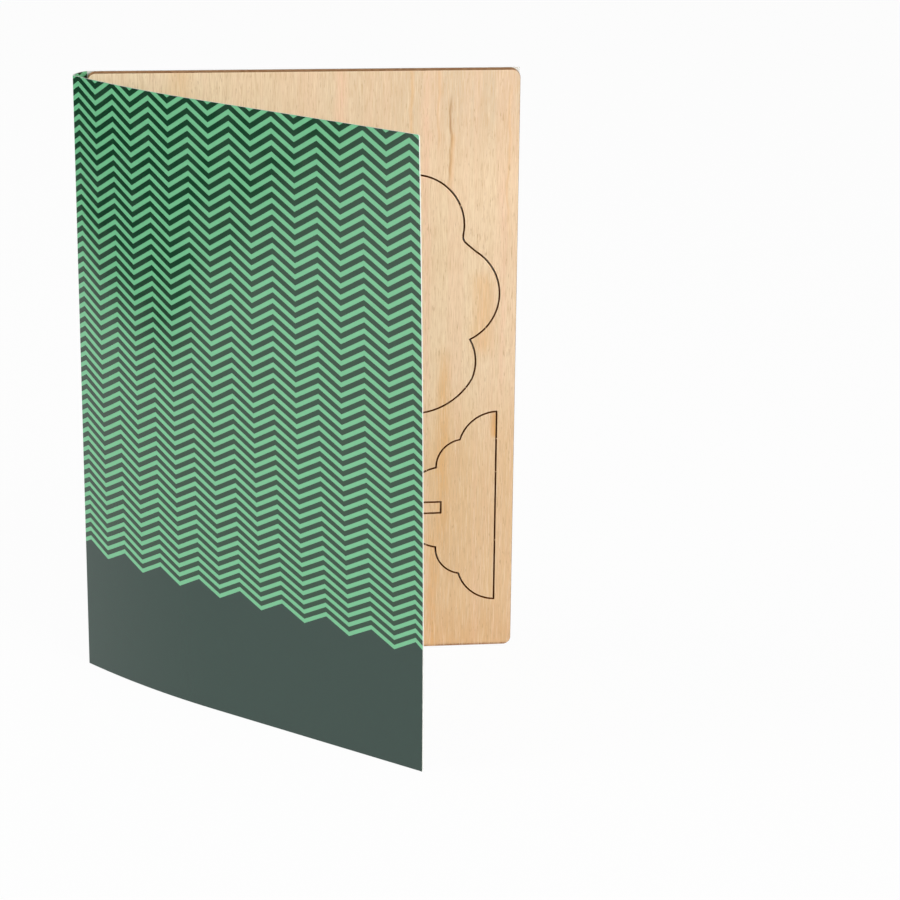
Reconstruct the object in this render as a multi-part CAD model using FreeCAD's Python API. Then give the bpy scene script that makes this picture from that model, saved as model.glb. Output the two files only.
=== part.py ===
"""A jigsaw puzzle postcard, in millimetres.

A sheet of printed card is folded twice, into a front cover, a narrow spine panel and a back panel.
It stands half open on its lower edge, with a plywood board taped to the back panel. Two pieces are
cut out of the board, a tree and the foot that it slots on to, and small uncut tabs hold them in it.

X runs along the board, from the spine to the open side, the cover opens towards -Y, and +Z is up.
The origin is the middle of the ground that the postcard covers.
"""
import FreeCAD, Part
import math
import os
from FreeCAD import Vector

# Plywood board
board_width = 105.0
board_height = 150.0
board_thickness = 3.0
board_corner_radius = 2.0
board_lift = 0.5                # from the card's lower edge up to the board
kerf = 0.3                      # width of the laser's cut round the pieces
tab_width = 0.3                 # uncut wood that holds a piece in the board
tab_reach = 1.2                 # length of the block that leaves a tab, across the cut

# Tree piece: the outline is drawn at the drawn size and follows the margins that the board leaves
tree_side_margin = 4.3
tree_top_margin = 16.0
tree_foot_margin = 10.15
drawn_tree_width = 96.4
drawn_tree_height = 123.85
slot_play = 0.25                # between a slot's walls and the plywood that it takes
slot_seat = 13.95               # height at which the two slots meet when the tree stands

# Foot piece: it lies on its end in the board, with its flat side along the open side of the board
stand_side_margin = 4.55
stand_axis_level = 27.65        # of the slot's middle, above the tree's foot, at the drawn size

# Folded card
card_thickness = 0.35
cover_overhang = 3.0            # the cover's width beyond the board's
spine_slack = 3.7               # the spine panel's width beyond the board's thickness
back_overhang = 0.2             # the back panel's width beyond each side of the board
fold_inner_radius = 0.2
spine_turn = 62.0               # degrees, from the back panel to the straight across the spine panel
spine_bow = 46.0                # degrees that the slack spine panel bends through
cover_bow = 11.3                # degrees that the cover bends over its first stretch
cover_bow_length = 45.0
foot_opening = 42.2             # degrees from the board to the cover's flat part, at the lower edge
top_opening = 43.8              # the same at the upper edge, since the cover twists a little
cover_corner_radius = 0.5       # upper free corner of the cover

# Double-sided tape between the board and the back panel
tape_thickness = 0.15
tape_side_margin = 7.5
upper_tape_height = 10.0
lower_tape_height = 6.0
tape_edge_margin = 2.0          # from the board's upper or lower edge

# Sizes that follow
card_height = board_lift + board_height
cover_width = board_width + cover_overhang
spine_width = board_thickness + spine_slack
panel_width = board_width + 2 * back_overhang
panel_front = board_thickness + tape_thickness
tree_width = board_width - 2 * tree_side_margin
tree_height = board_height - tree_top_margin - tree_foot_margin
tree_axis = board_width / 2
tree_foot = board_lift + tree_foot_margin
stand_flat = board_width - stand_side_margin
slot_line_width = board_thickness + slot_play - kerf
widen = tree_width / drawn_tree_width
heighten = tree_height / drawn_tree_height
stand_axis = tree_foot + stand_axis_level * heighten

# Right half of the tree, from the notch at its top down to its foot: across from the axis and up
# from the foot. Each step is the end of a line, or a point on an arc and the arc's end.
TREE_TOP = (0.0, 121.9)
TREE_SIDE = [
    ((15.35, 121.95), (22.8, 113.6)),       # top lobe
    ((35.4, 110.2), (38.9, 98.6)),          # shoulder lobe
    ((39.0, 97.5), (39.7, 96.5)),           # the soft notch below it
    ((42.2, 94.35),),
    ((48.2, 83.6), (40.9, 71.85)),          # widest lobe
    ((42.4, 66.3), (41.55, 61.6)),          # lower lobe
    ((37.5, 56.7), (28.8, 52.9)),
    ((27.3, 49.8), (24.8, 47.6)),           # underside of the crown
    ((19.0, 47.1), (13.0, 47.6)),
    ((10.7, 46.9), (10.1, 45.2)),
    ((10.3, 31.0), (12.1, 16.1)),           # trunk
    ((16.4, 14.3), (18.3, 9.7)),            # roots
    ((23.4, 7.0), (25.8, 0.0)),
]

# Half of the foot, from the top of its dome down to its flat side: along from the axis and up
STAND_TOP = (0.0, 24.23)
STAND_SIDE = [
    ((8.2, 20.5), (10.65, 15.25)),          # dome
    ((16.1, 13.0), (17.95, 9.25)),          # steps like the tree's roots
    ((23.3, 5.5), (25.2, 0.0)),
]

# Places beside the outlines where a tab is left, on the nearest point of the cut line
TREE_TABS = [(38.3, 106.1), (44.5, 75.0), (40.1, 59.2), (10.8, 26.0), (17.6, 12.2)]
STAND_TABS = [(18.0, 0.0), (9.2, 0.0), (-9.2, 0.0), (10.0, 17.7), (-10.0, 17.7)]


def on_tree(across, up):
    """Place on the board of a point of the tree's drawing."""
    return Vector(tree_axis + across * widen, 0, tree_foot + up * heighten)


def on_stand(along, up):
    """Place on the board of a point of the foot's drawing, which is laid on its end."""
    return Vector(stand_flat - up * widen, 0, stand_axis + along * heighten)


def half_outline(start, steps, side, place):
    """Edges of one half of a symmetric figure (side is 1 or -1), and the point where they end."""
    edges = []
    here = place(side * start[0], start[1])
    for step in steps:
        points = [place(side * across, up) for across, up in step]
        if len(points) == 2:
            edges.append(Part.Arc(here, points[0], points[1]).toShape())
        else:
            edges.append(Part.LineSegment(here, points[0]).toShape())
        here = points[-1]
    return edges, here


def figure_face(start, steps, place):
    """Flat face of a symmetric figure, in the plane of the board's front."""
    right, right_end = half_outline(start, steps, 1, place)
    left, left_end = half_outline(start, steps, -1, place)
    base = Part.LineSegment(right_end, left_end).toShape()
    return Part.Face(Part.Wire(Part.__sortEdges__(right + left + [base])))


def rectangle(low_x, high_x, low_z, high_z):
    """Flat rectangle in the plane of the board's front."""
    corners = [(low_x, low_z), (high_x, low_z), (high_x, high_z), (low_x, high_z), (low_x, low_z)]
    return Part.Face(Part.makePolygon([Vector(x, 0, z) for x, z in corners]))


def tree_face():
    """Cut line of the tree, with the slot that runs up from its foot."""
    half = slot_line_width / 2
    slot = rectangle(tree_axis - half, tree_axis + half, tree_foot, tree_foot + slot_seat)
    return figure_face(TREE_TOP, TREE_SIDE, on_tree).cut(slot).Faces[0]


def stand_face():
    """Cut line of the foot, with the slot that runs down from its top."""
    half = slot_line_width / 2
    top = on_stand(*STAND_TOP).x
    slot = rectangle(top, stand_flat - slot_seat, stand_axis - half, stand_axis + half)
    return figure_face(STAND_TOP, STAND_SIDE, on_stand).cut(slot).Faces[0]


def plate(face, line_offset):
    """Plywood inside a cut line that is moved outwards by line_offset."""
    wire = face.OuterWire.makeOffset2D(line_offset, 0, False, False, False)
    return Part.Face(wire).extrude(Vector(0, board_thickness, 0))


def tab_block(outline, place):
    """Block across a cut line, at its nearest point to a place, that keeps the wood of one tab."""
    nearest = outline.distToShape(Part.Vertex(place))
    point = nearest[1][0][0]
    edge_number, parameter = nearest[2][0][1:3]
    along = outline.Edges[edge_number].tangentAt(parameter) * (tab_width / 2)
    across = along.cross(Vector(0, 1, 0)).normalize() * (tab_reach / 2)
    corners = [point - along - across, point + along - across, point + along + across,
               point - along + across, point - along - across]
    return Part.Face(Part.makePolygon(corners)).extrude(Vector(0, board_thickness, 0))


def tab_blocks(tree_outline, stand_outline):
    """Blocks of all the tabs: the tree's are in pairs, one on each half."""
    blocks = [tab_block(stand_outline, on_stand(along, up)) for along, up in STAND_TABS]
    for across, up in TREE_TABS:
        blocks.append(tab_block(tree_outline, on_tree(across, up)))
        blocks.append(tab_block(tree_outline, on_tree(-across, up)))
    return Part.makeCompound(blocks)


def board_blank():
    """The whole board before it is cut, with its four corners rounded."""
    blank = Part.makeBox(board_width, board_thickness, board_height, Vector(0, 0, board_lift))
    corners = [edge for edge in blank.Edges if abs(edge.tangentAt(edge.FirstParameter).y) > 0.5]
    return blank.makeFillet(board_corner_radius, corners)


def puzzle_frame(tree_line, stand_line, pieces):
    """Board round the pieces, joined to them by the tabs."""
    tabs = tab_blocks(tree_line.OuterWire, stand_line.OuterWire)
    cuts = [plate(line, kerf / 2).cut(tabs) for line in (tree_line, stand_line)]
    return board_blank().cut(cuts + pieces)


def sheet_path(opening):
    """Middle line of the folded card from the back panel's free edge to the cover's.

    Each step is a length and the angle that it turns through, to the left of the way it goes. The
    panels' widths are measured to the corners that their flats would meet at.
    """
    fold_radius = fold_inner_radius + card_thickness / 2
    back_turn = spine_turn - spine_bow / 2
    hinge_turn = 180 - opening - cover_bow - back_turn - spine_bow
    back_loss = fold_radius * math.tan(math.radians(back_turn / 2))
    hinge_loss = fold_radius * math.tan(math.radians(hinge_turn / 2))
    return [
        (panel_width - back_loss, 0),
        (fold_radius * math.radians(back_turn), back_turn),
        (spine_width - back_loss - hinge_loss, spine_bow),
        (fold_radius * math.radians(hinge_turn), hinge_turn),
        (cover_bow_length - hinge_loss, cover_bow),
        (cover_width - cover_bow_length, 0),
    ]


def sheet_face_edges(path, level, side):
    """Edges of one face of the sheet at one level: side is 1 for its outside and -1 for its inside."""
    here = Vector(board_width + back_overhang, panel_front + card_thickness / 2, level)
    heading = math.pi
    edges = []
    for length, turn_degrees in path:
        turn = math.radians(turn_degrees)
        middle = side_point(here, heading, side)
        if turn:
            radius = length / turn
            centre = here + leftward(heading) * radius
            half = centre - leftward(heading + turn / 2) * radius
            end = centre - leftward(heading + turn) * radius
            through = side_point(half, heading + turn / 2, side)
            edges.append(Part.Arc(middle, through, side_point(end, heading + turn, side)).toShape())
        else:
            end = here + Vector(math.cos(heading), math.sin(heading), 0) * length
            edges.append(Part.LineSegment(middle, side_point(end, heading, side)).toShape())
        here = end
        heading += turn
    return edges


def leftward(heading):
    """Unit vector to the left of a heading."""
    return Vector(-math.sin(heading), math.cos(heading), 0)


def side_point(point, heading, side):
    """Point of the sheet's outside or inside beside a point of its middle line."""
    return point - leftward(heading) * (side * card_thickness / 2)


def sheet_section(level, opening):
    """Closed section of the folded card at one level."""
    path = sheet_path(opening)
    outside = sheet_face_edges(path, level, 1)
    inside = sheet_face_edges(path, level, -1)
    back_end = Part.LineSegment(inside[0].firstVertex().Point, outside[0].firstVertex().Point)
    free_end = Part.LineSegment(outside[-1].lastVertex().Point, inside[-1].lastVertex().Point)
    return Part.Wire([back_end.toShape()] + outside + [free_end.toShape()] + inside[::-1])


def card_cover():
    """The folded card: ruled between its lower and upper sections, with one corner rounded."""
    sections = [sheet_section(0, foot_opening), sheet_section(card_height, top_opening)]
    sheet = Part.makeLoft(sections, True, True)
    free_corner = min((edge for edge in sheet.Edges if is_upper_corner(edge)),
                      key=lambda edge: edge.CenterOfMass.y)
    return sheet.makeFillet(cover_corner_radius, [free_corner])


def is_upper_corner(edge):
    """True for the two short edges across the sheet's thickness at its upper free corners."""
    return edge.CenterOfMass.z > card_height - card_thickness and edge.Length < card_thickness * 1.01


def tape(low_z, height):
    """Strip of tape behind the board."""
    width = board_width - 2 * tape_side_margin
    return Part.makeBox(width, tape_thickness, height, Vector(tape_side_margin, board_thickness, low_z))


def build():
    """All the pieces by name, in the board's own coordinates."""
    tree_line = tree_face()
    stand_line = stand_face()
    tree = plate(tree_line, -kerf / 2)
    stand = plate(stand_line, -kerf / 2)
    upper_level = card_height - tape_edge_margin - upper_tape_height
    return {
        "card_cover": card_cover(),
        "puzzle_frame": puzzle_frame(tree_line, stand_line, [tree, stand]),
        "tree_piece": tree,
        "stand_piece": stand,
        "upper_tape": tape(upper_level, upper_tape_height),
        "lower_tape": tape(board_lift + tape_edge_margin, lower_tape_height),
    }


def main():
    pieces = build()
    ground = Part.makeCompound(list(pieces.values())).optimalBoundingBox(True, False)
    to_origin = Vector(-ground.Center.x, -ground.Center.y, -ground.ZMin)
    os.makedirs("parts", exist_ok=True)
    for name, shape in pieces.items():
        solid = shape.Solids[0]
        solid.translate(to_origin)
        print(name, len(shape.Solids), solid.isValid(), round(solid.Volume, 2))
        solid.exportStep(os.path.join("parts", name + ".step"))
    print("origin moved by", [round(value, 4) for value in to_origin])


main()
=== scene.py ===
"""Looks of a jigsaw puzzle postcard: a folded printed card, a laser-cut board and its two tapes.

All lengths are in metres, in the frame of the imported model: X along the board, the cover opens
towards -Y, and Z is up. "Level" is a height above the ground, and "along" is a distance over the
unfolded card, from the back panel's free edge to the cover's.
"""
import math

import bmesh
import bpy
from bpy.props import FloatProperty, FloatVectorProperty, IntProperty, PointerProperty
from mathutils import Matrix, Vector


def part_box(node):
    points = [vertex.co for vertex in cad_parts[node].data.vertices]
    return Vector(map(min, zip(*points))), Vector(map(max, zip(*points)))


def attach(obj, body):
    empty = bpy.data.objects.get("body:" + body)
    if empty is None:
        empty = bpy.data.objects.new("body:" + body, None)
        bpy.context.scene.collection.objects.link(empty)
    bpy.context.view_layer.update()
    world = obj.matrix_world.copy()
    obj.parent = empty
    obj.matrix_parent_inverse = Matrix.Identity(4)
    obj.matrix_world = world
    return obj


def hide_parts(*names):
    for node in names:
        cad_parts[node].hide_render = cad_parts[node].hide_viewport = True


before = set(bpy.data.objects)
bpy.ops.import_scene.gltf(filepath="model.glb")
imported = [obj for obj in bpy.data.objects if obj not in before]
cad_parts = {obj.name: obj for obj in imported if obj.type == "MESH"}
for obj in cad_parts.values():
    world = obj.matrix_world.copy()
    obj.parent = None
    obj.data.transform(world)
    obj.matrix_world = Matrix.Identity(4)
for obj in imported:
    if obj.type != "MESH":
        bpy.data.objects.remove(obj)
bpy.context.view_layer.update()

bl_info = {
    "name": "Puzzle postcard",
    "version": (1, 0, 0),
    "blender": (4, 5, 0),
    "location": "3D View > Sidebar > Postcard",
    "description": "Builds the finish of a folded card that holds a plywood jigsaw board",
    "category": "Object",
}

MILLIMETRE = 0.001
BODY = "root"
WOOD_NODES = ("puzzle_frame", "tree_piece", "stand_piece")
TAPE_NODES = ("upper_tape", "lower_tape")
CARD_NODE = "card_cover"
CARD_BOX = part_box(CARD_NODE)
BOARD_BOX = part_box("puzzle_frame")
WHITE = (1.0, 1.0, 1.0, 1.0)


def paint(red, green, blue):
    """Linear colour, with alpha, of an sRGB colour on a scale of 0 to 255."""
    channels = [value / 255 for value in (red, green, blue)]
    linear = [c / 12.92 if c <= 0.04045 else ((c + 0.055) / 1.055) ** 2.4 for c in channels]
    return (*linear, 1.0)


def length_setting(name, description, millimetres):
    """A length that a user may change."""
    return FloatProperty(name=name, description=description, default=millimetres * MILLIMETRE,
                         min=0.0, precision=5, subtype="DISTANCE", unit="LENGTH")


def angle_setting(name, description, degrees):
    """An angle that a user may change."""
    return FloatProperty(name=name, description=description, default=math.radians(degrees),
                         subtype="ANGLE", unit="ROTATION")


def colour_setting(name, description, red, green, blue):
    """A colour that a user may change."""
    return FloatVectorProperty(name=name, description=description, size=4, min=0.0, max=1.0,
                               default=paint(red, green, blue), subtype="COLOR")


def power_setting(name, description, watts):
    """A lamp's power that a user may change."""
    return FloatProperty(name=name, description=description, default=watts, min=0.0, unit="POWER")


def share_setting(name, description, share, highest=1.0):
    """A plain number that a user may change."""
    return FloatProperty(name=name, description=description, default=share, min=0.0, max=highest)


# Settings

class CardSettings(bpy.types.PropertyGroup):
    """Shape of the folded card, and the finish of its print."""
    thickness: length_setting("Thickness", "Thickness of the card", 0.35)
    cover_overhang: length_setting("Cover overhang", "The cover's width beyond the board's", 3.0)
    spine_slack: length_setting("Spine slack", "Spine width beyond the board's thickness", 3.7)
    fold_radius: length_setting("Fold radius", "Inner radius of the two folds", 0.2)
    corner_radius: length_setting("Corner radius", "Radius of the cover's upper free corner", 0.5)
    bow_length: length_setting("Bow length", "Width of the stretch of cover that bends", 45.0)
    bow: angle_setting("Bow", "Angle that the cover bends through beside the spine", 11.3)
    spine_turn: angle_setting(
        "Spine turn", "Angle from the back panel to straight across the spine", 62.0)
    spine_bow: angle_setting("Spine bow", "Angle that the slack spine bends through", 46.0)
    foot_opening: angle_setting("Foot opening", "Angle from board to cover at the foot", 42.2)
    top_opening: angle_setting("Top opening", "Angle from board to cover at the top", 43.8)
    belly: length_setting("Belly", "Lean of the cover's free edge at half its height", 0.72)
    roughness: share_setting("Roughness", "Roughness of the print's coating", 0.17)
    light_ink: colour_setting("Light ink", "Light stripes of the print", 116, 192, 143)
    dark_ink: colour_setting("Dark ink", "Dark stripes of the print", 20, 62, 39)
    band_ink: colour_setting("Band ink", "Plain band under the stripes", 24, 56, 46)
    bare_card: colour_setting("Bare card", "Unprinted card and its cut edges", 224, 225, 219)


class PrintSettings(bpy.types.PropertyGroup):
    """Zigzag stripes of the print."""
    rows: IntProperty(name="Rows", description="Light stripes down the cover", default=47, min=1)
    light_share: share_setting("Light share", "Share of a row that its light stripe takes", 0.46)
    row_pitch: length_setting("Row pitch", "From one light stripe to the next", 2.669)
    first_row: length_setting("First row", "From the card's top to the first whole stripe", 0.986)
    zigzag_width: length_setting("Zigzag width", "From one peak to the next", 12.873)
    zigzag_height: length_setting("Zigzag height", "From a peak down to its valley", 3.835)
    first_peak: length_setting("First peak", "From the cover's fold to its first peak", 2.19)
    crowding: share_setting("Crowding", "How much the rows close up lower down, per metre", 0.62)
    drift: share_setting("Drift", "How much the rows open out across the cover, per metre", 0.26)


class WoodSettings(bpy.types.PropertyGroup):
    """Finish of the plywood."""
    pale: colour_setting("Pale wood", "Face veneer", 240, 211, 176)
    # Darker, warmer tone towards the bottom of the board.
    honey: colour_setting("Honey wood", "Warmer veneer, lower on the board", 231, 192, 147)
    amber: colour_setting("Amber streaks", "Warm streaks along the grain", 230, 177, 116)
    blush: colour_setting("Blush", "Pinker clouds in the veneer", 240, 197, 166)
    fibre: colour_setting("Fibres", "Fine darker fibres", 216, 178, 136)
    # Fine lighter fibres of the grain, and also painted light over the board's upper left.
    pale_fibres_and_painted_light: colour_setting("Glints", "Fine lighter fibres", 248, 224, 192)
    pore: colour_setting("Pores", "Dark dashes along the grain", 182, 136, 92)
    # Painted shade, over the board's upper right and along its lower edge.
    painted_shade: colour_setting("Shade", "Greyer veneer near the upper and lower edge", 176, 154, 129)
    scorch: colour_setting("Scorch", "Patch where the laser has singed the veneer", 224, 158, 72)
    char: colour_setting("Char", "Burnt skin of a laser cut", 122, 62, 12)
    toasted: colour_setting("Toasted wood", "Inner plies seen on a laser cut", 208, 162, 116)
    soot: colour_setting("Soot", "Darkest patches of a burnt rim", 84, 40, 7)
    rim_width: length_setting("Rim width", "Width of the burnt rims of the cuts", 0.075)


class TapeSettings(bpy.types.PropertyGroup):
    """Finish of the double-sided tapes."""
    colour: colour_setting("Tape", "Milky film with its glue", 226, 222, 206)
    roughness: share_setting("Roughness", "Roughness of the tape's edge", 0.42)


class StageSettings(bpy.types.PropertyGroup):
    """Camera, lamps and floor."""
    lens: FloatProperty(name="Lens", description="Focal length", default=114.75, unit="CAMERA")
    heading: angle_setting("Heading", "Turn of the camera towards +X", 6.99)
    tilt: angle_setting("Tilt", "How far the camera looks down", 17.41)
    roll: angle_setting("Roll", "Turn about the line of sight", 0.66)
    distance: length_setting("Distance", "From the camera to what it aims at", 686.5)
    aim_across: length_setting("Aim across", "From the middle of the card to the aim", 33.1)
    aim_level: length_setting("Aim level", "From the ground to the aim", 65.7)
    dome: share_setting("Dome", "Strength of the light from above, all round", 0.224, 10.0)
    key_power: power_setting("Key", "Lamp high on the left, in front", 1.2)
    side_power: power_setting("Side", "Lamp on the left, towards the cover", 9.2)
    fill_power: power_setting("Fill", "Lamp on the right, towards the board", 18.8)
    floor_white: share_setting("Floor white", "Share of plain white in the floor", 0.96)


# Node building

class Wiring:
    """Adds nodes to a tree and joins them up."""

    def __init__(self, tree):
        self.nodes = tree.nodes
        self.links = tree.links

    def feed(self, socket, value):
        """Joins an output to a socket, or sets the socket's own value."""
        if isinstance(value, bpy.types.NodeSocket):
            self.links.new(value, socket)
        else:
            socket.default_value = value

    def node(self, kind, inputs=(), **options):
        """A new node, with its options and its inputs by name or number."""
        made = self.nodes.new(kind)
        for option, value in options.items():
            setattr(made, option, value)
        for key, value in dict(inputs).items():
            self.feed(made.inputs[key], value)
        return made

    def maths(self, first, second, operation="ADD"):
        """Arithmetic on two numbers."""
        return self.node("ShaderNodeMath", {0: first, 1: second}, operation=operation).outputs[0]

    def unsigned(self, value):
        """A number without its sign."""
        return self.maths(value, 0.0, "ABSOLUTE")

    def part(self, vector, axis):
        """One coordinate of a vector."""
        return self.node("ShaderNodeSeparateXYZ", {0: vector}).outputs[axis]


# The mix node's sockets for colours, among those that it keeps for other kinds of value
MIX_SHARE, MIX_UNDER, MIX_OVER, MIX_COLOUR = 0, 6, 7, 2
NOISE_ROUGHNESS = 0.55
NOISE_LOW, NOISE_HIGH = 0.3, 0.7    # where nearly all of a noise's values lie
SOOT_LOW, SOOT_HIGH = 0.35, 0.7     # values of a noise between which soot thickens


class Recipe(Wiring):
    """The nodes of one material, which feed the sockets of its skin."""

    def __init__(self, name):
        self.material = bpy.data.materials.new(name)
        self.material.use_nodes = True
        super().__init__(self.material.node_tree)
        self.skin = self.nodes["Principled BSDF"].inputs
        # All pieces have the same object coordinates, because they sit at the origin.
        self.place = self.node("ShaderNodeTexCoord").outputs["Object"]

    def noise(self, scale, detail, stretch=(1.0, 1.0, 1.0)):
        """Cloudy noise: scale is in waves a metre, and stretch multiplies it by axis."""
        mapped = self.node("ShaderNodeMapping", {"Vector": self.place, "Scale": stretch})
        inputs = {"Vector": mapped.outputs[0], "Scale": scale, "Detail": detail,
                  "Roughness": NOISE_ROUGHNESS}
        return self.node("ShaderNodeTexNoise", inputs).outputs["Fac"]

    def fit(self, value, low, high, to_low=0.0, to_high=1.0, smooth=True):
        """The value's range low to high, laid over to_low to to_high."""
        inputs = {"Value": value, "From Min": low, "From Max": high,
                  "To Min": to_low, "To Max": to_high}
        kind = "SMOOTHSTEP" if smooth else "LINEAR"
        return self.node("ShaderNodeMapRange", inputs, interpolation_type=kind).outputs[0]

    def spread(self, noise, to_low, to_high, smooth=True):
        """The usual range of a noise, laid over to_low to to_high."""
        return self.fit(noise, NOISE_LOW, NOISE_HIGH, to_low, to_high, smooth)

    def blend(self, share, under, over):
        """One colour over another."""
        inputs = {MIX_SHARE: share, MIX_UNDER: under, MIX_OVER: over}
        return self.node("ShaderNodeMix", inputs, data_type="RGBA").outputs[MIX_COLOUR]

    def relief(self, height, depth):
        """Bump of that depth on the skin."""
        inputs = {"Height": height, "Distance": depth, "Strength": 1.0}
        self.feed(self.skin["Normal"], self.node("ShaderNodeBump", inputs).outputs[0])


# Folded card

def leftward(heading):
    """Unit vector to the left of a heading."""
    return Vector((-math.sin(heading), math.cos(heading), 0.0))


class FoldLine:
    """Middle line of the folded card at one level: flats and bends, one after another."""

    def __init__(self, card, opening):
        fold_radius = card.fold_radius + card.thickness / 2
        back_turn = card.spine_turn - card.spine_bow / 2
        hinge_turn = math.pi - opening - card.bow - back_turn - card.spine_bow
        back_loss = fold_radius * math.tan(back_turn / 2)
        hinge_loss = fold_radius * math.tan(hinge_turn / 2)
        board_width = BOARD_BOX[1].x - BOARD_BOX[0].x
        board_thickness = BOARD_BOX[1].y - BOARD_BOX[0].y
        panel_width = board_width + 2 * (CARD_BOX[1].x - BOARD_BOX[1].x)
        spine_width = board_thickness + card.spine_slack
        cover_width = board_width + card.cover_overhang
        self.steps = []
        self.point = Vector((CARD_BOX[1].x, CARD_BOX[1].y - card.thickness / 2, 0.0))
        self.heading = math.pi
        self.add(panel_width - back_loss, 0.0)
        self.add(fold_radius * back_turn, back_turn)
        self.add(spine_width - back_loss - hinge_loss, card.spine_bow)
        self.add(fold_radius * hinge_turn, hinge_turn)
        self.hinge = sum(step[0] for step in self.steps) - hinge_loss
        self.add(card.bow_length - hinge_loss, card.bow)
        self.add(cover_width - card.bow_length, 0.0)
        self.length = sum(step[0] for step in self.steps)

    def add(self, length, turn):
        """Adds a flat, or a bend to the left, and walks to its end."""
        self.steps.append((length, turn, self.point, self.heading))
        self.point, self.heading = self.on_step(len(self.steps) - 1, 1.0)

    def on_step(self, number, share):
        """Point and heading at a share of one step."""
        length, turn, start, heading = self.steps[number]
        if not turn:
            return start - leftward(heading + math.pi / 2) * length * share, heading
        radius = length / turn
        turned = heading + turn * share
        return start + (leftward(heading) - leftward(turned)) * radius, turned

    def find(self, along):
        """Number of the step that a distance along the line falls in, and the share of it."""
        passed = 0.0
        for number, step in enumerate(self.steps):
            if along <= passed + step[0] or number == len(self.steps) - 1:
                return number, (along - passed) / step[0]
            passed += step[0]


class FoldedSheet:
    """The folded card as a ruled surface between its lower and its upper fold line."""

    def __init__(self, card):
        self.card = card
        self.height = CARD_BOX[1].z
        self.foot = FoldLine(card, card.foot_opening)
        self.top = FoldLine(card, card.top_opening)

    def place(self, along, level, side):
        """Point of the sheet's outside (side 1) or inside (side -1)."""
        number, share = self.foot.find(along)
        points = []
        for line in (self.foot, self.top):
            point, heading = line.on_step(number, share)
            points.append(point - leftward(heading) * (side * self.card.thickness / 2))
        up = level / self.height
        # The lean goes by the last heading, which is the upper line's.
        point = points[0].lerp(points[1], up) + leftward(heading) * self.lean(along, up)
        point.z = level
        return point

    def lean(self, along, up):
        """How far the cover leans in: most at its free edge, at half its height."""
        cover_width = self.foot.length - self.foot.hinge
        outward = max(0.0, (along - self.foot.hinge) / cover_width)
        return self.card.belly * 4 * up * (1 - up) * outward ** 2


WIDEST_TURN = math.radians(10)    # largest angle between two columns of faces
FLATNESS = 0.004 * MILLIMETRE     # how far a curve may leave its straight pieces
BEND_MARGIN = 0.3 * MILLIMETRE    # flat strip that keeps the shading of a bend off the panels
SAME_COLUMN = 0.02 * MILLIMETRE   # columns nearer than this are one


def bend_columns(line):
    """Distances along the sheet that its bends need."""
    columns = []
    passed = 0.0
    for length, turn, _, _ in line.steps:
        columns += [passed, passed + length]
        if turn:
            # An arc of radius length / turn leaves its chord by radius * step ** 2 / 8.
            step = min(WIDEST_TURN, math.sqrt(8 * FLATNESS * turn / length))
            count = math.ceil(turn / step)
            columns += [passed + length * number / count for number in range(1, count)]
            columns += [passed - BEND_MARGIN, passed + length + BEND_MARGIN]
        passed += length
    return columns


def turning_points(print_settings, line):
    """Distances along the sheet at which the zigzag turns."""
    half = print_settings.zigzag_width / 2
    first = line.hinge + print_settings.first_peak
    number = math.ceil(-first / half)
    columns = []
    while first + number * half < line.length:
        columns.append(first + number * half)
        number += 1
    return columns


def sheet_columns(print_settings, line):
    """All distances along the sheet at which its faces are divided, in order."""
    kept = turning_points(print_settings, line)
    for column in bend_columns(line):
        if all(abs(column - other) > SAME_COLUMN for other in kept):
            kept.append(column)
    return sorted(kept)


def stripe_edge(print_settings, from_hinge, row, height):
    """Level of a stripe's upper edge, that many rows below the card's top."""
    phase = ((from_hinge - print_settings.first_peak) / print_settings.zigzag_width) % 1.0
    dip = print_settings.zigzag_height * (1 - abs(2 * phase - 1))
    down = print_settings.first_row + row * print_settings.row_pitch + dip
    opening = 1 - print_settings.drift * from_hinge
    crowding = print_settings.crowding
    return height - (math.sqrt(opening ** 2 + 4 * crowding * down) - opening) / (2 * crowding)


# How far the print strays from even spacing, in millimetres: along the cover in SWAY, and upwards
# in LIFT. Each row is for a level, with a value for each of the distances from the cover's fold
# that STATIONS gives.
STATIONS = (0.0, 12.0, 27.0, 66.0, 91.0, 104.0, 108.0)
SWAY = (
    (30.0, (0.0, 0.45, 0.5, 0.35, 1.1, 1.2, 0.0)),
    (52.0, (0.0, 0.3, 0.1, -0.6, 0.0, 0.75, 0.0)),
    (85.0, (0.0, 0.05, -0.05, -1.35, -0.6, 0.5, 0.0)),
    (145.0, (0.0, 0.25, 0.0, -0.55, 0.0, 0.2, 0.0)),
)
LIFT = (
    (0.0, (0.0, 0.0, 0.0, 0.0, 0.0, 0.0, 0.0)),
    (22.0, (0.0, 0.0, 0.1, 0.6, 0.9, 1.0, 1.0)),
    (46.0, (0.0, 0.0, 0.1, 0.0, 0.15, 0.35, 0.35)),
    (75.0, (0.0, 0.0, 0.0, -0.27, -0.2, -0.05, -0.05)),
    (130.0, (0.0, 0.0, 0.05, -0.05, 0.05, 0.1, 0.1)),
)


def between(stations, values, place):
    """Value at a place between stations, or the nearest end's value beyond them."""
    for number in range(1, len(stations)):
        if place <= stations[number]:
            step = stations[number] - stations[number - 1]
            share = max(0.0, (place - stations[number - 1]) / step)
            return values[number - 1] + (values[number] - values[number - 1]) * share
    return values[-1]


def stray(table, from_hinge, level):
    """How far the print strays at a place."""
    levels = [row_level for row_level, _ in table]
    strays = [between(STATIONS, row, from_hinge / MILLIMETRE) for _, row in table]
    return between(levels, strays, level / MILLIMETRE) * MILLIMETRE


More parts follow.
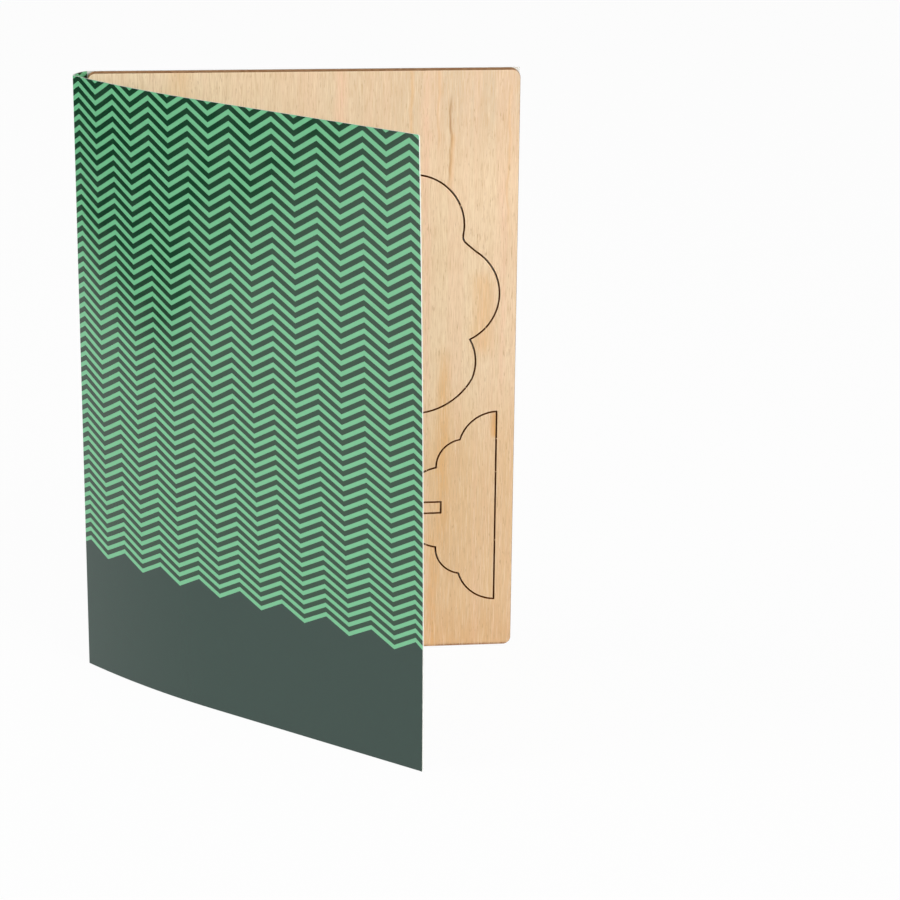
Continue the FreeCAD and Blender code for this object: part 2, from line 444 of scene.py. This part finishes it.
# Places of the finishes in the card's list of materials
LIGHT_INK, DARK_INK, BAND_INK, BARE_CARD = range(4)
INSIDE_INKS = {LIGHT_INK: DARK_INK, DARK_INK: LIGHT_INK, BAND_INK: BAND_INK}
ROWS_ABOVE = 2                      # stripes that run off the card's upper edge
BAND_DIVISIONS = 6                  # faces from the lowest stripe down to the card's lower edge
CORNER_CUTS = 6                     # straight cuts, from the upper edge on round the corner
CUT_TOLERANCE = 1e-4 * MILLIMETRE   # points nearer to a cut than this are on it


def stripe_rows(print_settings):
    """Places of the stripes' edges, in rows from the top down: each row is light and then dark."""
    rows = []
    for number in range(-ROWS_ABOVE, print_settings.rows):
        rows += [number, number + print_settings.light_share]
    return rows


def unfolded_print(sheet, print_settings):
    """The whole card laid flat: x is along it and y is up, and its faces have their inks."""
    flat = bmesh.new()
    rows = stripe_rows(print_settings)
    lines = []
    for along in sheet_columns(print_settings, sheet.foot):
        from_hinge = along - sheet.foot.hinge
        levels = [stripe_edge(print_settings, from_hinge, row, sheet.height) for row in rows]
        for number in range(1, BAND_DIVISIONS + 1):
            levels.append(levels[len(rows) - 1] * (1 - number / BAND_DIVISIONS))
        lines.append([
            flat.verts.new((along + stray(SWAY, from_hinge, level),
                            level + stray(LIFT, from_hinge, level), 0.0))
            for level in levels
        ])
    for left, right in zip(lines, lines[1:]):
        for number in range(len(left) - 1):
            corners = (left[number + 1], right[number + 1], right[number], left[number])
            face = flat.faces.new(corners)
            striped = number < len(rows) - 1
            face.material_index = (LIGHT_INK, DARK_INK)[number % 2] if striped else BAND_INK
    trim(flat, sheet)
    return flat


def trim(flat, sheet):
    """Cuts the flat print along the card's upper edge and round the cover's upper corner."""
    radius = sheet.card.corner_radius
    centre = Vector((sheet.foot.length - radius, sheet.height - radius, 0.0))
    angles = [math.pi / 2 * number / CORNER_CUTS for number in range(CORNER_CUTS, 0, -1)]
    for angle in angles:
        outward = Vector((math.cos(angle), math.sin(angle), 0.0))
        everything = flat.verts[:] + flat.edges[:] + flat.faces[:]
        bmesh.ops.bisect_plane(flat, geom=everything, dist=CUT_TOLERANCE, clear_outer=True,
                               plane_co=centre + outward * radius, plane_no=outward)
    bmesh.ops.remove_doubles(flat, verts=flat.verts, dist=SAME_COLUMN / 2)


UV_GAP = 2 * MILLIMETRE         # space between the parts of the sheet's map
SHARP_FOLD = math.radians(30)   # edges that turn by more than this are shaded as sharp


def fold_up(flat, sheet):
    """Closed mesh of the folded card, from its unfolded print."""
    solid = bmesh.new()
    uv = solid.loops.layers.uv.new("OFBake")
    outside, inside, spread = {}, {}, {}
    for vertex in flat.verts:
        along, level, _ = vertex.co
        outside[vertex] = solid.verts.new(sheet.place(along, level, 1))
        inside[vertex] = solid.verts.new(sheet.place(along, level, -1))
        spread[outside[vertex]] = (along, level)
        spread[inside[vertex]] = (along, level)
    spine_start = sheet.foot.steps[0][0]
    for face in flat.faces:
        outer = solid.faces.new([outside[v] for v in face.verts])
        outer.material_index = face.material_index
        inner = solid.faces.new([inside[v] for v in reversed(face.verts)])
        behind_board = face.calc_center_median().x < spine_start
        inner.material_index = BARE_CARD if behind_board else INSIDE_INKS[face.material_index]
        lay_out(outer, uv, spread, sheet, 0.0)
        lay_out(inner, uv, spread, sheet, sheet.height + UV_GAP)
    for edge in flat.edges:
        if len(edge.link_faces) == 1:
            loop = edge.link_loops[0]
            start, end = loop.vert, loop.link_loop_next.vert
            rim = solid.faces.new((outside[end], outside[start], inside[start], inside[end]))
            rim.material_index = BARE_CARD
            lay_out(rim, uv, spread, sheet, 2 * (sheet.height + UV_GAP))
    solid.normal_update()
    for face in solid.faces:
        face.smooth = True
    for edge in solid.edges:
        edge.smooth = edge.calc_face_angle(0.0) < SHARP_FOLD
    return solid


def lay_out(face, uv, spread, sheet, shift):
    """Lays one face on the sheet's map: the outside lowest, then the inside, then the edges."""
    whole = 2 * (sheet.height + UV_GAP) + 2 * UV_GAP
    for loop in face.loops:
        along, level = spread[loop.vert]
        loop[uv].uv = ((along + UV_GAP / 2) / whole, (level + shift + UV_GAP / 2) / whole)


PRINT_SHINE = 0.7     # specular level of the coating
SWELL_WEIGHT = 4.0    # height of the card's slow swell, where that of its tooth is 1


def ink_material(name, colour, roughness):
    """Coated print: a slightly uneven gloss over the card's faint tooth."""
    recipe = Recipe(name)
    recipe.feed(recipe.skin["Base Color"], colour)
    cloud = recipe.noise(scale=140.0, detail=3.0)
    recipe.feed(recipe.skin["Roughness"],
                recipe.spread(cloud, to_low=roughness - 0.04, to_high=roughness + 0.05))
    recipe.feed(recipe.skin["Specular IOR Level"], PRINT_SHINE)
    tooth = recipe.noise(scale=2600.0, detail=2.0)
    swell = recipe.noise(scale=90.0, detail=1.0)
    height = recipe.maths(tooth, recipe.maths(swell, SWELL_WEIGHT, "MULTIPLY"))
    recipe.relief(height, depth=0.006 * MILLIMETRE)
    return recipe.material


def card_stock_material(name, colour):
    """Uncoated card: matt, with fibres."""
    recipe = Recipe(name)
    recipe.feed(recipe.skin["Base Color"], colour)
    fibres = recipe.noise(scale=1800.0, detail=4.0)
    recipe.feed(recipe.skin["Roughness"], recipe.spread(fibres, to_low=0.7, to_high=0.85))
    recipe.relief(fibres, depth=0.02 * MILLIMETRE)
    return recipe.material


class POSTCARD_OT_folded_card(bpy.types.Operator):
    """Build the folded card with its printed stripes"""
    bl_idname = "postcard.folded_card"
    bl_label = "Folded card"

    def execute(self, context):
        card = context.scene.postcard_card
        sheet = FoldedSheet(card)
        flat = unfolded_print(sheet, context.scene.postcard_print)
        solid = fold_up(flat, sheet)
        mesh = bpy.data.meshes.new("printed_card")
        solid.to_mesh(mesh)
        flat.free()
        solid.free()
        for material in (
            ink_material("light green print", card.light_ink, card.roughness),
            ink_material("dark green print", card.dark_ink, card.roughness),
            ink_material("plain band print", card.band_ink, card.roughness),
            card_stock_material("bare card", card.bare_card),
        ):
            mesh.materials.append(material)
        piece = bpy.data.objects.new("printed_card", mesh)
        context.scene.collection.objects.link(piece)
        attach(piece, BODY)
        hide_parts(CARD_NODE)
        return {"FINISHED"}


# Plywood

SIDE_TURN, FACE_TURN = 0.5, 0.9      # how squarely along Y a side may look, and a face looks
HONEY_FULL, HONEY_GONE = 0.28, 0.54  # shares of the height over which the honey tone gives out
HONEY_DRIFT = 0.2                    # how much slow clouds add to that tone or take from it
WAVER = 0.8 * MILLIMETRE             # how far a streak wanders to each side
STREAK_CORE = 0.6                    # share of a streak's length that has its full strength
# Grain of the face veneer: colour, waves a metre across it, length of a fibre in millimetres, low
# and high value of the noise, and the strength at its high value
GRAIN = (
    ("blush", 240.0, 90.0, 0.44, 0.66, 0.32),
    ("fibre", 420.0, 40.0, 0.5, 0.75, 0.3),
    ("fibre", 2600.0, 14.0, 0.5, 0.68, 0.3),
    ("pale_fibres_and_painted_light", 4200.0, 6.0, 0.5, 0.68, 0.4),
    ("fibre", 5600.0, 4.0, 0.48, 0.62, 0.55),
    ("pore", 4000.0, 2.5, 0.63, 0.73, 0.5),
)
# Upright streaks of the face veneer and broad patches of painted light and shade, in millimetres
# from the board's left and lower edge: colour, middle, width to each side, lower end, upper end
# and strength
STREAKS = (
    # Painted shade over the board's upper right.
    ("painted_shade", 112.0, 100.0, 120.0, 240.0, 0.42),
    # Painted light over the board's upper left, which the cover shades.
    ("pale_fibres_and_painted_light", 0.0, 50.0, 120.0, 240.0, 0.8),
    # Painted shade: darker and warmer towards the board's lower edge.
    ("painted_shade", 52.0, 160.0, -60.0, 15.0, 0.3),
    ("amber", 52.0, 160.0, -60.0, 16.0, 0.5),
    # A burnt line along the board's lower edge, widened with a painted contact shadow.
    ("toasted", 52.0, 160.0, -1.6, 1.1, 0.5),
    ("char", 52.0, 160.0, -0.8, 0.62, 1.0),
    ("blush", 82.0, 2.0, -20.0, 165.0, 0.7),
    ("amber", 85.0, 0.6, 128.0, 156.0, 0.45),
    ("pore", 88.0, 0.55, 120.0, 145.0, 1.0),
    ("amber", 88.4, 1.0, 118.0, 136.0, 0.5),
    ("amber", 96.6, 4.5, 76.0, 101.0, 0.6),
    ("amber", 102.6, 0.7, 104.0, 150.0, 0.5),
    ("blush", 101.5, 1.6, 60.0, 130.0, 0.6),
    ("amber", 87.0, 2.6, 22.0, 84.0, 0.7),
    ("amber", 84.4, 2.0, -14.0, 34.0, 0.7),
    ("amber", 78.3, 0.8, 128.0, 160.0, 0.5),
    ("blush", 61.0, 2.4, 30.0, 170.0, 0.8),
    ("amber", 40.5, 1.2, -10.0, 90.0, 0.6),
    ("amber", 22.0, 5.0, 60.0, 170.0, 0.4),
    ("blush", 12.0, 2.0, -20.0, 120.0, 0.8),
    ("scorch", 99.9, 1.3, 55.5, 63.5, 0.95),
)


def plywood_material(wood):
    """Birch plywood cut by laser: grain up the faces, burnt plies on the cut sides."""
    recipe = Recipe("laser-cut plywood")
    face = face_veneer(recipe, wood)
    side = burnt_side(recipe, wood)
    normal = recipe.node("ShaderNodeNewGeometry").outputs["True Normal"]
    on_face = recipe.fit(recipe.unsigned(recipe.part(normal, "Y")), SIDE_TURN, FACE_TURN)
    recipe.feed(recipe.skin["Base Color"], recipe.blend(on_face, side, face))
    recipe.feed(recipe.skin["Roughness"], recipe.fit(on_face, 0.0, 1.0, to_low=0.85, to_high=0.62))
    shine = recipe.fit(on_face, 0.0, 1.0, to_low=0.1, to_high=0.4)
    recipe.feed(recipe.skin["Specular IOR Level"], shine)
    pores = recipe.noise(scale=2400.0, detail=3.0, stretch=(1.0, 1.0, 0.03))
    recipe.relief(pores, depth=0.03 * MILLIMETRE)
    return recipe.material


def face_veneer(recipe, wood):
    """Colour of the faces: slow warm drifts, placed streaks, painted light and shade, and fine
    flecks, all along Z.
    """
    height = BOARD_BOX[1].z
    level = recipe.part(recipe.place, "Z")
    drift = recipe.noise(scale=60.0, detail=2.0, stretch=(1.0, 1.0, 0.3))
    honey = recipe.maths(
        recipe.fit(level, HONEY_FULL * height, HONEY_GONE * height, to_low=1.0, to_high=0.0),
        recipe.spread(drift, -HONEY_DRIFT, HONEY_DRIFT))
    colour = recipe.blend(recipe.fit(honey, 0.0, 1.0), wood.pale, wood.honey)
    across = recipe.part(recipe.place, "X")
    sway = recipe.noise(scale=70.0, detail=2.0, stretch=(0.0, 0.0, 1.0))
    sway = recipe.maths(recipe.spread(sway, -1.0, 1.0, smooth=False), WAVER, "MULTIPLY")
    for tone, *streak in STREAKS:
        share = streak_share(recipe, across, level, sway, streak)
        colour = recipe.blend(share, colour, getattr(wood, tone))
    for tone, scale, length, low, high, strength in GRAIN:
        stretch = (1.0, 1.0, 1.0 / (scale * length * MILLIMETRE))
        grain = recipe.noise(scale, detail=2.0, stretch=stretch)
        share = recipe.fit(grain, low, high, to_low=0.0, to_high=strength)
        colour = recipe.blend(share, colour, getattr(wood, tone))
    return colour


def streak_share(recipe, across, level, sway, streak):
    """How much of a soft upright streak lies over a place."""
    middle, width, low, high, strength = streak
    beside = recipe.maths(across, BOARD_BOX[0].x + middle * MILLIMETRE, "SUBTRACT")
    beside = recipe.unsigned(recipe.maths(beside, sway))
    middle_level = BOARD_BOX[0].z + (low + high) / 2 * MILLIMETRE
    half = (high - low) / 2 * MILLIMETRE
    beyond = recipe.unsigned(recipe.maths(level, middle_level, "SUBTRACT"))
    return recipe.maths(
        recipe.fit(beside, 0.0, width * MILLIMETRE, to_low=strength, to_high=0.0),
        recipe.fit(beyond, STREAK_CORE * half, half, to_low=1.0, to_high=0.0), "MULTIPLY")


PLIES = 3
GLUE_START = 0.32                  # where a glue line begins, in plies from a ply's middle
SLOT_CHAR_AND_PAINTED_SHADE = 0.95                # share of char on the narrow cuts: real char, deepened by painted shade in the slots
OUTER_DEPTH = 2.5 * MILLIMETRE     # depth of the strip that counts as the board's outer edge
INNER_DEPTH = 3 * MILLIMETRE       # depth from which a cut counts as one within the board


def burnt_side(recipe, wood):
    """Colour of the cut sides: three plies between dark glue lines, under uneven char that painted
    shade deepens within the board.
    """
    depth = recipe.fit(recipe.part(recipe.place, "Y"), BOARD_BOX[0].y, BOARD_BOX[1].y, smooth=False)
    ply = recipe.maths(recipe.maths(depth, PLIES, "MULTIPLY"), 0.0, "FRACT")
    from_middle = recipe.unsigned(recipe.maths(ply, 0.5, "SUBTRACT"))
    glue = recipe.fit(from_middle, GLUE_START, 0.5)
    soot = recipe.noise(scale=700.0, detail=3.0, stretch=(1.0, 0.15, 1.0))
    char = recipe.maths(glue, recipe.fit(soot, SOOT_LOW, SOOT_HIGH, 0.05, 0.4), "MAXIMUM")
    # The cuts within the board are nearly all char: real char, deepened by painted shade in the
    # narrow slots.
    slot_char_and_painted_shade = recipe.maths(inside_board(recipe), SLOT_CHAR_AND_PAINTED_SHADE, "MULTIPLY")
    return recipe.blend(recipe.maths(char, slot_char_and_painted_shade, "MAXIMUM"), wood.toasted, wood.char)


def inside_board(recipe):
    """1 at the cuts within the board, and 0 at its outer edges."""
    shares = []
    for axis in (0, 2):
        middle = (BOARD_BOX[0][axis] + BOARD_BOX[1][axis]) / 2
        half = (BOARD_BOX[1][axis] - BOARD_BOX[0][axis]) / 2
        away = recipe.maths(recipe.part(recipe.place, axis), middle, "SUBTRACT")
        shares.append(recipe.fit(recipe.unsigned(away), half - INNER_DEPTH, half - OUTER_DEPTH,
                                 to_low=1.0, to_high=0.0))
    return recipe.maths(*shares, "MULTIPLY")


RIM_SHINE = 0.05                    # specular level of soot
ONE_POINT = 0.001 * MILLIMETRE      # points nearer than this are joined
FLAT_TURN = math.radians(0.5)       # faces that turn by less than this are one flat face
RIM_TURN = math.radians(60)         # edges that turn by more than this get a burnt rim


def char_material(wood):
    """Rims of the cuts, which the laser has burnt."""
    recipe = Recipe("burnt rim")
    soot = recipe.fit(recipe.noise(scale=900.0, detail=3.0), SOOT_LOW, SOOT_HIGH)
    recipe.feed(recipe.skin["Base Color"], recipe.blend(soot, wood.char, wood.soot))
    recipe.feed(recipe.skin["Roughness"], recipe.fit(soot, 0.0, 1.0, to_low=0.85, to_high=0.95))
    recipe.feed(recipe.skin["Specular IOR Level"], RIM_SHINE)
    recipe.relief(soot, depth=0.02 * MILLIMETRE)
    return recipe.material


def burn_rims(piece, width, slot):
    """Gives the edges of a piece's faces a narrow burnt chamfer."""
    joined = piece.modifiers.new("join the faces", "WELD")
    joined.merge_threshold = ONE_POINT
    flats = piece.modifiers.new("whole flat faces", "DECIMATE")
    flats.decimate_type = "DISSOLVE"
    flats.angle_limit = FLAT_TURN
    rims = piece.modifiers.new("burnt rims", "BEVEL")
    rims.width = width
    rims.segments = 1
    rims.limit_method = "ANGLE"
    rims.angle_limit = RIM_TURN
    rims.use_clamp_overlap = False
    rims.material = slot
    shading = piece.modifiers.new("level shading", "WEIGHTED_NORMAL")
    shading.weight = 100


class POSTCARD_OT_plywood(bpy.types.Operator):
    """Finish the board and the two pieces that are cut out of it"""
    bl_idname = "postcard.plywood"
    bl_label = "Plywood"

    def execute(self, context):
        wood = context.scene.postcard_wood
        material = plywood_material(wood)
        char = char_material(wood)
        for name in WOOD_NODES:
            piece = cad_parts[name]
            for slot in piece.material_slots:
                slot.material = material
            piece.data.materials.append(char)
            burn_rims(piece, wood.rim_width, len(piece.material_slots) - 1)
        return {"FINISHED"}


# Tapes

def tape_material(tape):
    """Milky double-sided film."""
    recipe = Recipe("double-sided tape")
    recipe.feed(recipe.skin["Base Color"], tape.colour)
    ripple = recipe.noise(scale=900.0, detail=2.0)
    recipe.feed(recipe.skin["Roughness"],
                recipe.spread(ripple, to_low=tape.roughness - 0.05, to_high=tape.roughness + 0.1))
    recipe.relief(ripple, depth=0.01 * MILLIMETRE)
    return recipe.material


class POSTCARD_OT_tapes(bpy.types.Operator):
    """Finish the two tapes behind the board"""
    bl_idname = "postcard.tapes"
    bl_label = "Tapes"

    def execute(self, context):
        material = tape_material(context.scene.postcard_tape)
        for name in TAPE_NODES:
            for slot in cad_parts[name].material_slots:
                slot.material = material
        return {"FINISHED"}


# Stage

def seen_white(wiring, in_gloss):
    """Factor that is 1 for what the camera sees, and in_gloss for what gloss and glass show."""
    rays = wiring.node("ShaderNodeLightPath").outputs
    other = wiring.maths(rays["Is Glossy Ray"], rays["Is Transmission Ray"], "MAXIMUM")
    other = wiring.maths(other, in_gloss, "MULTIPLY")
    return wiring.maths(rays["Is Camera Ray"], other, "MAXIMUM")


def mix_shaders(wiring, share, under, over):
    """One shader over another."""
    inputs = {0: share, 1: under.outputs[0], 2: over.outputs[0]}
    return wiring.node("ShaderNodeMixShader", inputs).outputs[0]


FLOOR_PAPER = (0.95, 0.95, 0.95, 1.0)
FLOOR_IN_GLOSS = 0.82    # share of its plain white that the floor keeps in gloss and glass
# Corners of the floor. It has a notch to the left of the card, so that the coated print has
# something darker to mirror in its upper hinged corner.
FLOOR_CORNERS = ((-3.0, -2.0), (4.0, -2.0), (4.0, 4.0), (-3.0, 4.0), (-3.0, 2.95), (-0.335, 0.012),
                 (-3.0, -1.3))


def floor_material(stage):
    """Pale paper that looks nearly white, and keeps a soft shadow."""
    material = bpy.data.materials.new("white floor")
    material.use_nodes = True
    wiring = Wiring(material.node_tree)
    wiring.nodes.clear()
    paper = wiring.node("ShaderNodeBsdfDiffuse", {"Color": FLOOR_PAPER})
    white = wiring.node("ShaderNodeEmission", {"Strength": 1.0})
    share = wiring.maths(seen_white(wiring, FLOOR_IN_GLOSS), stage.floor_white, "MULTIPLY")
    surface = mix_shaders(wiring, share, paper, white)
    wiring.node("ShaderNodeOutputMaterial", {"Surface": surface})
    return material


def add_floor(scene, stage):
    """A pale sheet to stand on, which keeps the card's soft shadow."""
    mesh = bpy.data.meshes.new("floor")
    plate = bmesh.new()
    plate.faces.new([plate.verts.new((x, y, 0.0)) for x, y in FLOOR_CORNERS])
    plate.to_mesh(mesh)
    plate.free()
    floor = bpy.data.objects.new("floor", mesh)
    scene.collection.objects.link(floor)
    mesh.materials.append(floor_material(stage))


def add_dome(scene, stage):
    """Even light from above, all round, and a white background."""
    world = bpy.data.worlds.new("dome")
    world.use_nodes = True
    wiring = Wiring(world.node_tree)
    direction = wiring.node("ShaderNodeTexCoord").outputs["Generated"]
    above = wiring.maths(wiring.part(direction, "Z"), 0.0, "GREATER_THAN")
    light = wiring.nodes["Background"]
    light.inputs["Color"].default_value = WHITE
    wiring.feed(light.inputs["Strength"], wiring.maths(above, stage.dome, "MULTIPLY"))
    white = wiring.node("ShaderNodeBackground", {"Color": WHITE, "Strength": 1.0})
    surface = mix_shaders(wiring, seen_white(wiring, above), light, white)
    wiring.feed(wiring.nodes["World Output"].inputs["Surface"], surface)
    scene.world = world


# Lamps: name, direction from the middle of the card, distance, and length of a side
LAMPS = (
    ("key", (-0.45, -0.85, 1.0), 1.4, 0.45),
    ("side", (-1.0, -0.15, 0.3), 1.3, 0.6),
    ("fill", (0.75, -1.0, 0.35), 1.5, 0.8),
)


def add_lamp(scene, name, direction, distance, size, power):
    """A square soft lamp that faces the middle of the card."""
    lamp = bpy.data.lights.new(name, "AREA")
    lamp.size = size
    lamp.energy = power
    holder = bpy.data.objects.new(name, lamp)
    middle = Vector((0.0, 0.0, CARD_BOX[1].z / 2))
    holder.location = middle + direction.normalized() * distance
    holder.rotation_mode = "QUATERNION"
    holder.rotation_quaternion = direction.to_track_quat("Z", "Y")
    scene.collection.objects.link(holder)


def add_camera(scene, stage):
    """Camera in front, above and a little to the left of the card."""
    lens = bpy.data.cameras.new("camera")
    lens.lens = stage.lens
    lens.sensor_width = 36.0
    lens.clip_end = 20.0
    camera = bpy.data.objects.new("camera", lens)
    level = math.cos(stage.tilt)
    sight = Vector((math.sin(stage.heading) * level, math.cos(stage.heading) * level,
                    -math.sin(stage.tilt)))
    aim = Vector((stage.aim_across, 0.0, stage.aim_level))
    camera.location = aim - sight * stage.distance
    camera.rotation_mode = "QUATERNION"
    upright = sight.to_track_quat("-Z", "Y").to_matrix()
    camera.rotation_quaternion = (upright @ Matrix.Rotation(stage.roll, 3, "Z")).to_quaternion()
    scene.collection.objects.link(camera)
    scene.camera = camera


class POSTCARD_OT_stage(bpy.types.Operator):
    """Set up the floor, the soft light and the camera"""
    bl_idname = "postcard.stage"
    bl_label = "Stage"

    def execute(self, context):
        scene = context.scene
        stage = scene.postcard_stage
        add_floor(scene, stage)
        add_dome(scene, stage)
        for name, direction, distance, size in LAMPS:
            power = getattr(stage, f"{name}_power")
            add_lamp(scene, name, Vector(direction), distance, size, power)
        add_camera(scene, stage)
        scene.view_settings.view_transform = "Standard"
        return {"FINISHED"}


class POSTCARD_PT_sidebar(bpy.types.Panel):
    """Lists the postcard's settings and the steps that build it"""
    bl_label = "Puzzle postcard"
    bl_idname = "POSTCARD_PT_sidebar"
    bl_space_type = "VIEW_3D"
    bl_region_type = "UI"
    bl_category = "Postcard"

    def draw(self, context):
        """Draws a box for each step, with its settings and its buttons."""
        for settings, operators in STEPS:
            box = self.layout.box()
            for name in settings:
                group = getattr(context.scene, name)
                for key in group.bl_rna.properties.keys():
                    if key not in ("rna_type", "name"):
                        box.prop(group, key)
            for operator in operators:
                box.operator(operator)


SETTINGS = {
    "postcard_card": CardSettings,
    "postcard_print": PrintSettings,
    "postcard_wood": WoodSettings,
    "postcard_tape": TapeSettings,
    "postcard_stage": StageSettings,
}
STEPS = (
    (("postcard_card", "postcard_print"), ("postcard.folded_card",)),
    (("postcard_wood",), ("postcard.plywood",)),
    (("postcard_tape",), ("postcard.tapes",)),
    (("postcard_stage",), ("postcard.stage",)),
)
CLASSES = (
    *SETTINGS.values(),
    POSTCARD_OT_folded_card,
    POSTCARD_OT_plywood,
    POSTCARD_OT_tapes,
    POSTCARD_OT_stage,
    POSTCARD_PT_sidebar,
)


def register():
    """Adds the classes, and the settings to each scene."""
    for item in CLASSES:
        bpy.utils.register_class(item)
    for name, group in SETTINGS.items():
        setattr(bpy.types.Scene, name, PointerProperty(type=group))


def unregister():
    """Takes away what register added."""
    for name in SETTINGS:
        delattr(bpy.types.Scene, name)
    for item in reversed(CLASSES):
        bpy.utils.unregister_class(item)


def main():
    """Builds the postcard on its stage."""
    register()
    bpy.ops.postcard.folded_card()
    bpy.ops.postcard.plywood()
    bpy.ops.postcard.tapes()
    bpy.ops.postcard.stage()


if __name__ == "__main__":
    main()
